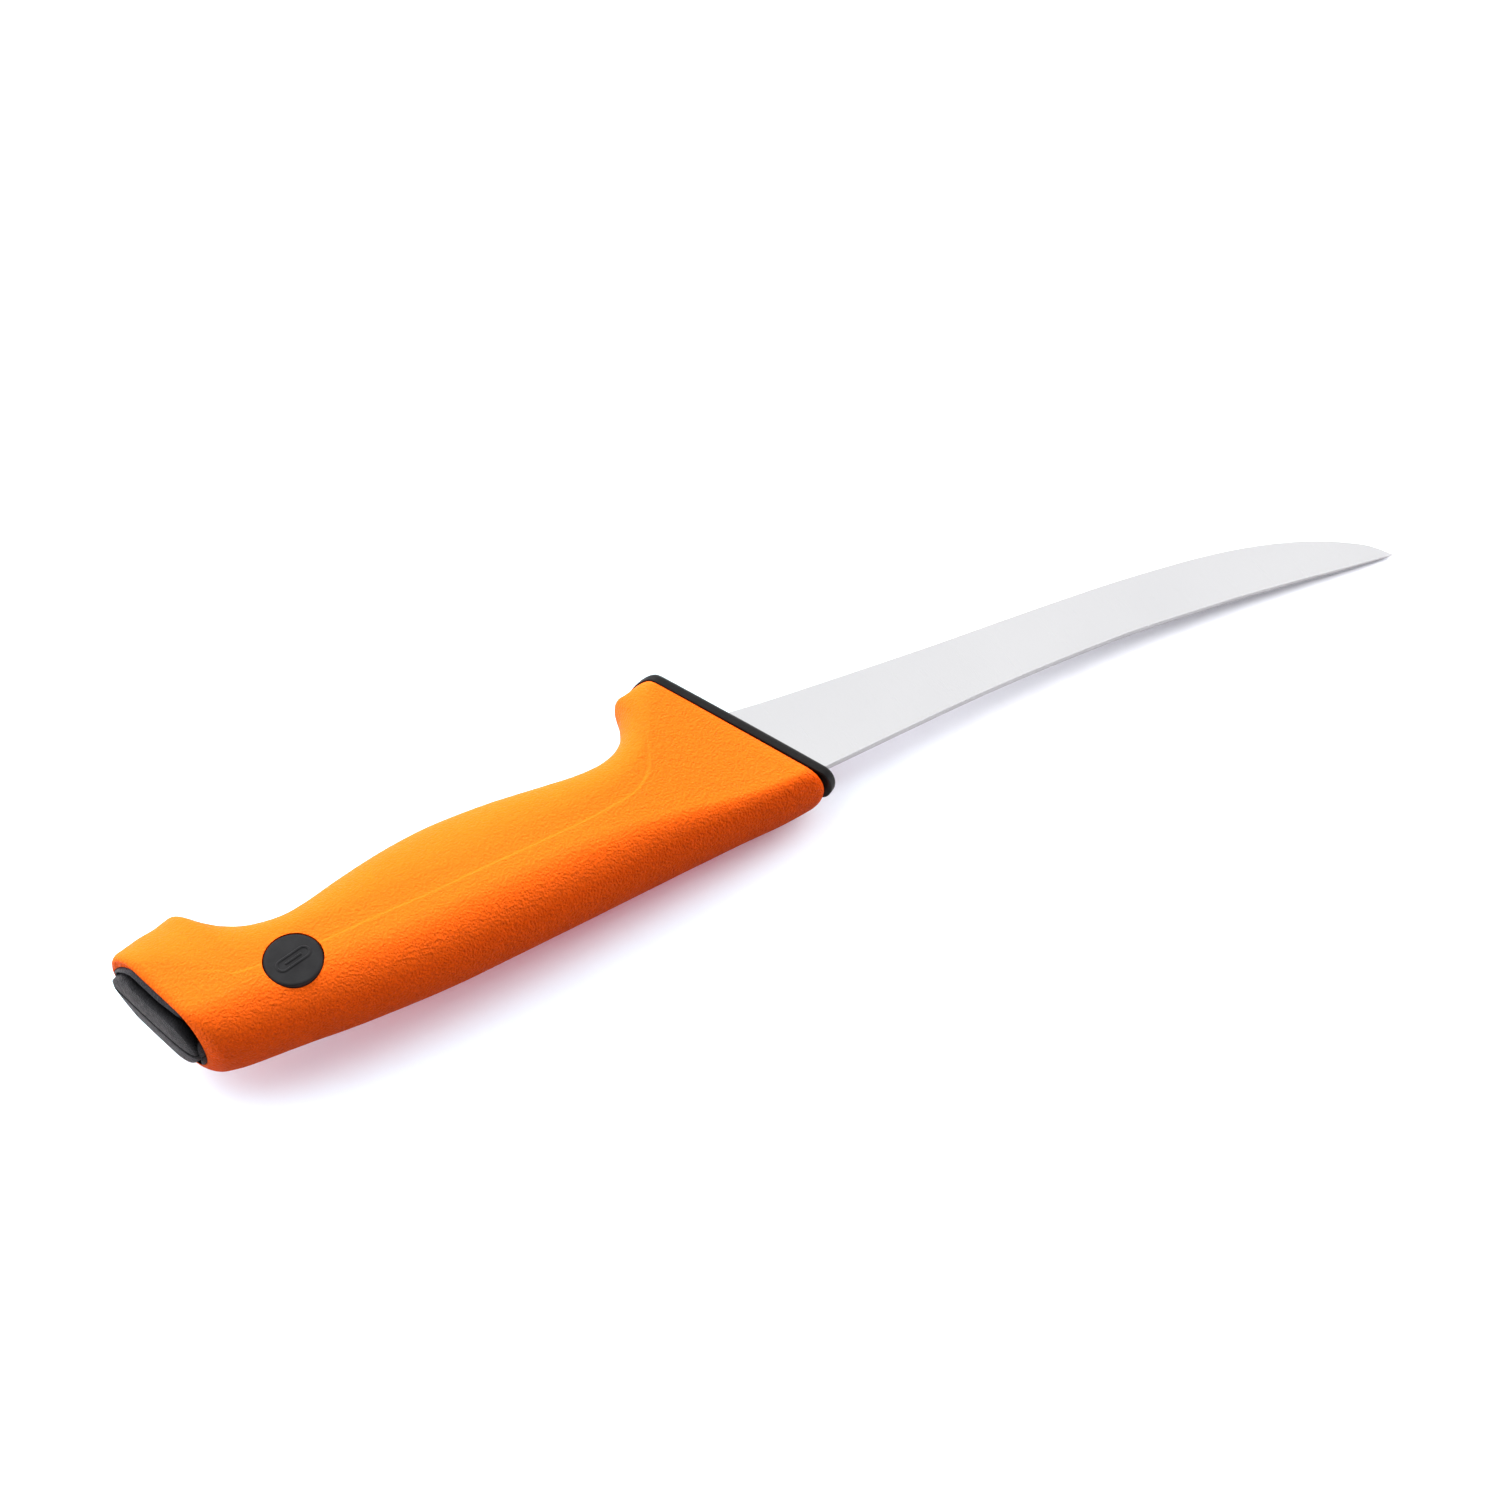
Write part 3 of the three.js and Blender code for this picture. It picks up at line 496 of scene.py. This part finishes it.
def cap_painted_shading_and_seam(share, w, z):
    """Painted shading along one ring, with a dark seam line: above 0 darkens the plastic, below 0
    lightens it. The dark parts are painted shade in the recess at the spine end and in the groove,
    and the seam line along z = 0; the light parts are painted light on the strip and on the lower
    half.
    """
    above_spine_end = smooth((w + 10.4) / 0.7)
    # painted shade in the deep recess towards the spine end
    dark = smooth((share - 0.77) / 0.03) * smooth((-3.6 - w) / 2.0) * above_spine_end
    # painted shade in the groove between the tongue and the strip
    groove = (math.exp(-((share - 0.775) / 0.026) ** 2) * smooth((13.0 - w) / 2.5)
              * above_spine_end)
    # dark seam line along z = 0
    seam = np.exp(-(z / 0.42) ** 2) * smooth((15.6 - w) / 1.0)
    painted_shade_and_seam = np.maximum.reduce([dark, groove, seam])
    # painted light on the strip and on the lower half of the cap
    painted_light = np.maximum(0.75 * float(smooth((share - 0.83) / 0.03)), 0.6 * smooth(-z / 0.8))
    return painted_shade_and_seam - painted_light * (1 - painted_shade_and_seam)


def cap_spigot():
    """Oval peg from the cap into the core."""
    tilt = section(X_CORE_END).tilt
    angles = circle(40)
    oval = np.stack([-3.4 - 6.0 * np.cos(angles), 3.6 * np.sin(angles)], 1)
    return loft([place(X_CORE_END + dx, oval, tilt) for dx in (-1.5, 8)])


def cap_shells():
    """The cap's shells, and the painted shading and seam values of their first vertices."""
    sec = section(X_BUTT)
    rim = outline(sec, CAP_INSET + CAP_GAP, CAP_POINT)
    middle = (sec.spine + sec.finger) / 2
    rings, painted_shading_and_seam = [], []
    # from the seam outwards: crown, groove, strip, rim
    for share in CAP_RINGS:
        w = middle + (rim[:, 0] - middle) * (0.7 + 0.3 * share)
        z = rim[:, 1] * share
        rings.append(place(X_BUTT, np.stack([w, z], 1), sec.tilt, -cap_heights(share, w, z)))
        painted_shading_and_seam.append(cap_painted_shading_and_seam(share, w, z))
    # skirt forward into the grip
    rings += [place(X_BUTT, rim, sec.tilt, push) for push in (0.4, 2.3)]
    for x in np.linspace(X_FLANGE + 0.2, X_CORE_END - 0.3, 12):
        rings.append(ring(x, SKIN, pointed=butt_point(x)))
    return [loft(rings), cap_spigot()], np.concatenate(painted_shading_and_seam)


# ---------------------------------------------------------------- discs
def cylinder(radius, z0, z1):
    """Upright cylinder at the disc's place."""
    angles = circle(96)
    x, y = DISC_X + radius * np.cos(angles), DISC_Y + radius * np.sin(angles)
    return loft([np.stack([x, y, np.full(len(angles), z)], 1) for z in (z0, z1)])


def disc_shell(side):
    """Disc with its spigot; side is 1 on the left flank and -1 on the right."""
    angles = circle(200)
    cos, sin = np.cos(angles), np.sin(angles)
    rings = []
    # face, with a fine raised line: a round-ended bar and its centre line
    for r in [*np.linspace(0.04, 5.3, 78), 5.4, 5.5]:
        x, y = r * cos, r * sin
        along = x * math.cos(BADGE_SLANT) + y * math.sin(BADGE_SLANT)
        across = -x * math.sin(BADGE_SLANT) + y * math.cos(BADGE_SLANT)
        ridge = 0.0
        for half, offset in BADGE_RIDGES:
            gap = np.abs(np.hypot(np.maximum(np.abs(along) - half, 0), across) - offset)
            ridge = np.maximum(ridge, RIDGE_HEIGHT * (1 - smooth((gap - 0.16) / 0.17)))
        dome = -0.10 * (r / DISC_R) ** 2
        rings.append(np.stack([x, y, DISC_TOP - RIDGE_HEIGHT + dome + ridge], 1))
    # rounded edge, side, underside and spigot: (radius, z)
    profile = []
    for angle in range(0, 91, 15):
        s, c = sin_cos(angle)
        profile.append((DISC_R - DISC_ROUND + DISC_ROUND * s,
                        DISC_TOP - 0.30 - DISC_ROUND * (1 - c)))
    under = DISC_TOP - DISC_DEPTH
    profile += [(DISC_R, under + 0.6), (DISC_R, under), (SPIGOT_R, under),
                (SPIGOT_R, under - SPIGOT_LEN)]
    rings += [np.stack([r * cos, r * sin, np.full(len(angles), z)], 1) for r, z in profile]
    pos, faces = loft(rings)
    return pos * np.array([1, 1, side]) + np.array([DISC_X, DISC_Y, 0]), faces


# ---------------------------------------------------------------- blade
def blade_shell():
    rings = []
    for (xe, ye), (xb, yb) in zip(dense(EDGE, 260), dense(BACK, 260)):
        width = math.hypot(xe - xb, ye - yb)
        bevel = min(BEVEL, width * 0.4)
        taper = min(1.0, max(0.0, (xb - X_TAPER) / TAPER_LEN))
        half_back = ((BLADE_T + (TIP_T - BLADE_T) * taper * taper) / 2
                     * min(1.0, 0.35 + width / 6))
        half_edge = min(EDGE_T / 2, half_back * 0.8)
        r = min(0.11, half_back * 0.35, width * 0.1)
        # (distance from the back, half thickness)
        half = [(0.0, half_back - r), (r * 0.3, half_back - r * 0.3), (r, half_back)]
        for share in (0.08, 0.2, 0.35, 0.5, 0.65, 0.8, 0.92, 1.0):
            half.append((r + (width - bevel - r) * share,
                         half_back + (half_edge - half_back) * share))
        half.append((width - bevel * 0.93, half_edge * 0.97))
        half.append((width - bevel * 0.5, half_edge * 0.52))
        loop = half + [(width, 0.0)] + [(y, -z) for y, z in reversed(half)]
        to_edge = np.array([xe - xb, ye - yb]) / max(width, 1e-6)
        rings.append(np.array([[xb + to_edge[0] * y, yb + to_edge[1] * y, z] for y, z in loop]))
    return loft(rings)


# ---------------------------------------------------------------- shader helpers
NOISE_RANGE = (0.3, 0.7)   # the part of a noise's values that is put to use


class Shader:
    """Builds a node tree. Inputs take plain values or output sockets, which are linked."""

    def __init__(self, owner):
        owner.use_nodes = True
        self.tree = owner.node_tree
        self.tree.nodes.clear()
        self.coords = self.add("ShaderNodeTexCoord").outputs

    def add(self, kind, inputs=None, **settings):
        node = self.tree.nodes.new(kind)
        for key, value in settings.items():
            setattr(node, key, value)
        self.feed(node, inputs or {})
        return node

    def feed(self, node, inputs):
        for key, value in inputs.items():
            if isinstance(value, bpy.types.NodeSocket):
                self.tree.links.new(value, node.inputs[key])
            else:
                node.inputs[key].default_value = value

    def noise(self, scale, detail, rough, vector=None):
        return self.add("ShaderNodeTexNoise", {
            "Scale": scale, "Detail": detail, "Roughness": rough,
            "Vector": vector or self.coords["Object"]}).outputs["Fac"]

    def cells(self, scale, smoothness):
        return self.add("ShaderNodeTexVoronoi", {
            "Scale": scale, "Smoothness": smoothness, "Vector": self.coords["Object"]},
            feature="SMOOTH_F1").outputs["Distance"]

    def ramp(self, source, low, high, over=NOISE_RANGE):
        """Colour low to colour high as source goes over a range."""
        node = self.add("ShaderNodeValToRGB", {"Fac": source})
        for element, position, colour in zip(node.color_ramp.elements, over, (low, high)):
            element.position = position
            element.color = colour
        return node.outputs["Color"]

    def span(self, source, to, over=(0.0, 1.0)):
        """Maps source from the range over to the range to."""
        return self.add("ShaderNodeMapRange", {
            "Value": source, "From Min": over[0], "From Max": over[1],
            "To Min": to[0], "To Max": to[1]}).outputs["Result"]

    def mix(self, factor, a, b):
        # 6, 7 and output 2 are the colour sockets
        return self.add("ShaderNodeMix", {0: factor, 6: a, 7: b}, data_type="RGBA").outputs[2]

    def math(self, operation, a, b):
        return self.add("ShaderNodeMath", {0: a, 1: b}, operation=operation).outputs["Value"]

    def dot(self, vector, direction):
        return self.add("ShaderNodeVectorMath", {0: vector, 1: direction},
                        operation="DOT_PRODUCT").outputs["Value"]

    def brightness(self, colour, value):
        return self.add("ShaderNodeHueSaturation",
                        {"Color": colour, "Value": value}).outputs["Color"]

    def bump(self, height, strength, distance, normal=None):
        inputs = {"Strength": strength, "Distance": distance, "Height": height}
        if normal:
            inputs["Normal"] = normal
        return self.add("ShaderNodeBump", inputs).outputs["Normal"]


class Material(Shader):
    def __init__(self, name):
        self.data = bpy.data.materials.new(name)
        super().__init__(self.data)
        self.bsdf = self.add("ShaderNodeBsdfPrincipled")
        self.output = self.add("ShaderNodeOutputMaterial", {"Surface": self.bsdf.outputs["BSDF"]})

    def surface(self, inputs):
        self.feed(self.bsdf, inputs)


# ---------------------------------------------------------------- materials
def grip_material():
    mat = Material("soft_grip_orange")
    patches = mat.noise(scale=38, detail=2, rough=0.5)
    specks = mat.noise(scale=1900, detail=4, rough=0.62)
    # painted light and shade: the orange is deeper and redder on faces turned away from this
    # direction and lighter on faces turned towards it; it is also grainier on faces turned away
    normal = mat.add("ShaderNodeNewGeometry").outputs["Normal"]
    facing = mat.dot(normal, (-0.45, 0.52, 0.726))
    # two painted copies of the orange: the first for faces turned towards the light, deep as
    # painted shade for faces turned away
    painted_lit_orange = mat.mix(patches, (0.695, 0.103, 0.0046, 1), (0.77, 0.117, 0.0062, 1))
    deep = mat.mix(patches, (0.555, 0.055, 0.0001, 1), (0.605, 0.062, 0.0002, 1))
    painted_shading_tone = mat.mix(mat.span(facing, to=(0.0, 1.0), over=(-0.05, 0.70)), deep, painted_lit_orange)
    grain = mat.span(facing, to=(1.0, 0.52), over=(0.30, 0.75))
    bumps = mat.bump(mat.cells(scale=1900, smoothness=0.55), strength=grain, distance=0.00032)
    bumps = mat.bump(mat.noise(scale=2900, detail=3, rough=0.6),
                     strength=grain, distance=0.00021, normal=bumps)
    bumps = mat.bump(mat.noise(scale=120, detail=2, rough=0.5),
                     strength=0.10, distance=0.0003, normal=bumps)
    mat.surface({
        "Base Color": mat.brightness(painted_shading_tone, mat.span(specks, to=(0.90, 1.06), over=NOISE_RANGE)),
        "Roughness": mat.span(mat.noise(scale=900, detail=3, rough=0.6),
                              to=(0.50, 0.66), over=NOISE_RANGE),
        "Normal": bumps,
        "Specular IOR Level": 0.06})
    return mat.data


def plastic_material(name, dark, light, roughness, grain, specular, has_painted_shading=False):
    """Black plastic; grain is the strength of its fine texture."""
    grain_scale = 2600
    mat = Material(name)
    colour = mat.ramp(mat.noise(scale=300, detail=4, rough=0.6), dark, light)
    bumps = mat.bump(mat.cells(scale=grain_scale, smoothness=0.5),
                     strength=grain, distance=0.0002)
    bumps = mat.bump(mat.noise(scale=grain_scale * 1.7, detail=3, rough=0.6),
                     strength=grain * 0.7, distance=0.00014, normal=bumps)
    mat.surface({
        "Base Color": colour,
        "Roughness": mat.span(mat.noise(scale=700, detail=3, rough=0.6),
                              to=roughness, over=NOISE_RANGE),
        "Normal": bumps,
        "Specular IOR Level": specular})
    if has_painted_shading:
        # the shading attribute darkens and dulls the plastic where it is above 0, as painted shade
        # in the grooves and the recess and as a dark seam line, and lightens it where it is below
        # 0, as painted light on the strip
        painted_shading_and_seam = mat.add("ShaderNodeAttribute", attribute_name="painted_shading_and_seam").outputs["Fac"]
        painted_brightness = mat.math("SUBTRACT", 1.0, mat.math("MULTIPLY", painted_shading_and_seam, 0.96))
        mat.surface({"Base Color": mat.brightness(colour, painted_brightness),
                     "Specular IOR Level": mat.span(painted_shading_and_seam, to=(specular, 0.0))})
    return mat.data


def steel_material():
    mat = Material("ground_steel")
    # noise stretched across the blade into grinding lines
    stretched = mat.add("ShaderNodeMapping", {
        "Vector": mat.coords["Object"], "Scale": (5200, 60, 900),
        "Rotation": (0, 0, 4 * DEG)}).outputs["Vector"]
    lines = mat.noise(scale=1.0, detail=3, rough=0.65, vector=stretched)
    mat.surface({
        "Base Color": mat.ramp(mat.noise(scale=26, detail=3, rough=0.5),
                               (0.725, 0.725, 0.742, 1), (0.75, 0.75, 0.765, 1)),
        "Roughness": mat.span(lines, to=(0.22, 0.28), over=NOISE_RANGE),
        "Normal": mat.bump(lines, strength=0.035, distance=0.00003),
        "Metallic": 1.0,
        "Anisotropic": 0.25})
    return mat.data


def floor_material():
    """Light floor that glows to camera rays, with painted orange bounce light in its colour and
    glow towards the butt and a light lavender tint towards the tip; plain grey to all but camera
    rays.
    """
    mat = Material("pale_floor")
    patches = mat.noise(scale=9, detail=2, rough=0.5)
    x = mat.add("ShaderNodeSeparateXYZ", {"Vector": mat.coords["Object"]}).outputs["X"]
    along = mat.span(x, to=(0.0, 1.0), over=(-0.03, 0.05))
    # painted orange bounce: floor colour towards the butt, paired with the red-heavy glow below
    painted_bounce_tint = mat.ramp(patches, (0.550, 0.855, 0.92, 1), (0.560, 0.865, 0.93, 1))
    tip_tint = mat.ramp(patches, (0.775, 0.785, 0.835, 1), (0.785, 0.795, 0.845, 1))
    mat.surface({
        "Base Color": mat.mix(along, painted_bounce_tint, tip_tint),
        # glow seen only by the camera: red-heavy painted orange bounce light towards the butt,
        # light lavender towards the tip
        "Emission Color": mat.ramp(along, (0.35, 0.075, 0.11, 1), (0.15, 0.145, 0.16, 1),
                                   over=(0.0, 1.0)),
        "Emission Strength": 1.0,
        "Roughness": 0.9,
        "Specular IOR Level": 0.1})
    plain = mat.add("ShaderNodeBsdfDiffuse", {"Color": (0.50, 0.49, 0.505, 1)})
    seen = mat.add("ShaderNodeMixShader", {
        "Fac": mat.add("ShaderNodeLightPath").outputs["Is Camera Ray"],
        1: plain.outputs["BSDF"], 2: mat.bsdf.outputs["BSDF"]})
    mat.feed(mat.output, {"Surface": seen.outputs["Shader"]})
    return mat.data


grip_mat = grip_material()
plate_mat = plastic_material(
    "hard_black_plastic", dark=(0.0054, 0.0050, 0.0050, 1), light=(0.0074, 0.0069, 0.0070, 1),
    roughness=(0.34, 0.44), grain=0.05, specular=0.16)
cap_mat = plastic_material(
    "grained_black_plastic", dark=(0.0070, 0.0071, 0.0086, 1), light=(0.0118, 0.0120, 0.0142, 1),
    roughness=(0.42, 0.58), grain=0.8, specular=0.24, has_painted_shading=True)
disc_mat = plastic_material(
    "disc_black_plastic", dark=(0.0069, 0.0069, 0.0075, 1), light=(0.0101, 0.0101, 0.0109, 1),
    roughness=(0.42, 0.52), grain=0.06, specular=0.2)
steel_mat = steel_material()

# ---------------------------------------------------------------- pieces
grip = make("grip_soft_skin", [grip_shell()], grip_mat)
cut(grip, [make("disc_hole", [cylinder(DISC_R + GAP, z0, z1)])
           for z0, z1 in ((5, 14), (-14, -5))])

core = make("guard_plate_and_core", [plate_shell(), core_shell()], plate_mat)
cut(core, [make("heel_slot", [heel_slot()]),
           make("tang_slot", [prism(TANG_SLOT, TANG_T + 2 * BLADE_GAP)])])

cap_parts, painted_shading_and_seam = cap_shells()
cap = make("butt_cap_cover", cap_parts, cap_mat, sharp=50)
# painted shade, painted light and the dark seam line of the cap, stored per vertex
painted_shading_and_seam = np.pad(painted_shading_and_seam, (0, len(cap.data.vertices) - len(painted_shading_and_seam)))
cap.data.attributes.new("painted_shading_and_seam", "FLOAT", "POINT").data.foreach_set(
    "value", painted_shading_and_seam.astype(np.float32))

disc_left = make("round_disc_left", [disc_shell(1)], disc_mat, sharp=50)
disc_right = make("round_disc_right", [disc_shell(-1)], disc_mat, sharp=50)
blade = make("blade_ground", [blade_shell(), prism(TANG, TANG_T - 0.02)], steel_mat, sharp=4)

for obj, node, slot in [
        (grip, "grip_overmould", "grip_soft"), (core, "handle_core", "hard_plastic"),
        (cap, "butt_cap", "cap_plastic"), (disc_left, "emblem_disc_left", "disc_plastic"),
        (disc_right, "emblem_disc_right", "disc_plastic"), (blade, "blade", "blade_steel")]:
    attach(obj, "root")
    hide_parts(node)

# ---------------------------------------------------------------- floor (metres)
scene = bpy.context.scene
FLOOR_HALF = 3.0
FLOOR_Z, FLOOR_SLOPE = -0.00928, 0.0575   # height at the working point, rise along x


def floor_point(x, y):
    return (x, y, FLOOR_Z + FLOOR_SLOPE * (x + CENTRE[0] * MM))


floor_mesh = bpy.data.meshes.new("floor")
floor_mesh.from_pydata(
    [floor_point(i * FLOOR_HALF, j * FLOOR_HALF) for i, j in ((-1, -1), (1, -1), (1, 1), (-1, 1))],
    [], [(0, 1, 2, 3)])
floor = bpy.data.objects.new("floor", floor_mesh)
scene.collection.objects.link(floor)
floor_mesh.materials.append(floor_material())


# ---------------------------------------------------------------- world and lights
def build_world():
    """Sky brightest in one direction, and strong only in reflections."""
    world = bpy.data.worlds.new("studio")
    scene.world = world
    sky = Shader(world)
    toward = sky.dot(sky.coords["Generated"], Vector((0.20, 0.60, 0.78)).normalized())
    colour = sky.ramp(sky.span(toward, to=(0.0, 1.0), over=(-1.0, 1.0)),
                      (0.05, 0.05, 0.06, 1), (1.0, 1.0, 1.0, 1), over=(0.40, 0.80))
    glossy = sky.add("ShaderNodeLightPath").outputs["Is Glossy Ray"]
    background = sky.add("ShaderNodeBackground", {
        "Color": colour, "Strength": sky.span(glossy, to=(0.02, 1.12))})
    sky.add("ShaderNodeOutputWorld", {"Surface": background.outputs["Background"]})


def softbox(name, azimuth, elevation, angle, energy):
    """A large far lamp in a given direction; it lights but is not mirrored."""
    light = bpy.data.lights.new(name, "SUN")
    light.energy = energy
    light.angle = angle * DEG
    obj = bpy.data.objects.new(name, light)
    a, e = azimuth * DEG, elevation * DEG
    toward = Vector((math.cos(e) * math.cos(a), math.cos(e) * math.sin(a), math.sin(e)))
    obj.rotation_euler = toward.to_track_quat("Z", "Y").to_euler()
    scene.collection.objects.link(obj)
    obj.visible_glossy = False


build_world()
# name, azimuth from +x, elevation, angular size (degrees), energy
for lamp in [
        ("key", 90, 30, 50, 7.55),
        ("key_butt_side", 135, 30, 50, 2.6),
        ("side_tip", 0, 30, 50, 3.99),
        ("high_butt", 135, 62, 45, 1.10),
        ("high_tip", 0, 62, 45, 0.57),
        ("low_fill", 225, 30, 50, 0.40),
        ("butt_fill", 175, 18, 40, 1.3)]:
    softbox(*lamp)

scene.view_settings.view_transform = "Standard"
scene.view_settings.look = "None"
scene.view_settings.exposure = 0.0
scene.view_settings.gamma = 1.0

# ---------------------------------------------------------------- camera (metres)
CAMERA_PLACE = (-0.1783, -0.3264, 0.5098)   # from the working point
CAMERA_RIGHT = Vector((0.87612043, -0.48209231, 0.0))
CAMERA_UP = Vector((0.39002087, 0.70879631, 0.58778525))
CAMERA_FORWARD = Vector((0.28336675, 0.51497065, -0.80901699))

camera_data = bpy.data.cameras.new("camera")
camera_data.sensor_fit = "HORIZONTAL"
camera_data.sensor_width = 36.0
camera_data.lens = 72.0
camera_data.clip_start = 0.01
camera_data.clip_end = 50.0
camera = bpy.data.objects.new("camera", camera_data)
pose = Matrix.Identity(4)
for i in range(3):
    pose[i][0], pose[i][1], pose[i][2] = CAMERA_RIGHT[i], CAMERA_UP[i], -CAMERA_FORWARD[i]
    pose[i][3] = CAMERA_PLACE[i] - CENTRE[i] * MM
camera.matrix_world = pose
scene.collection.objects.link(camera)
scene.camera = camera

bpy.context.view_layer.update()
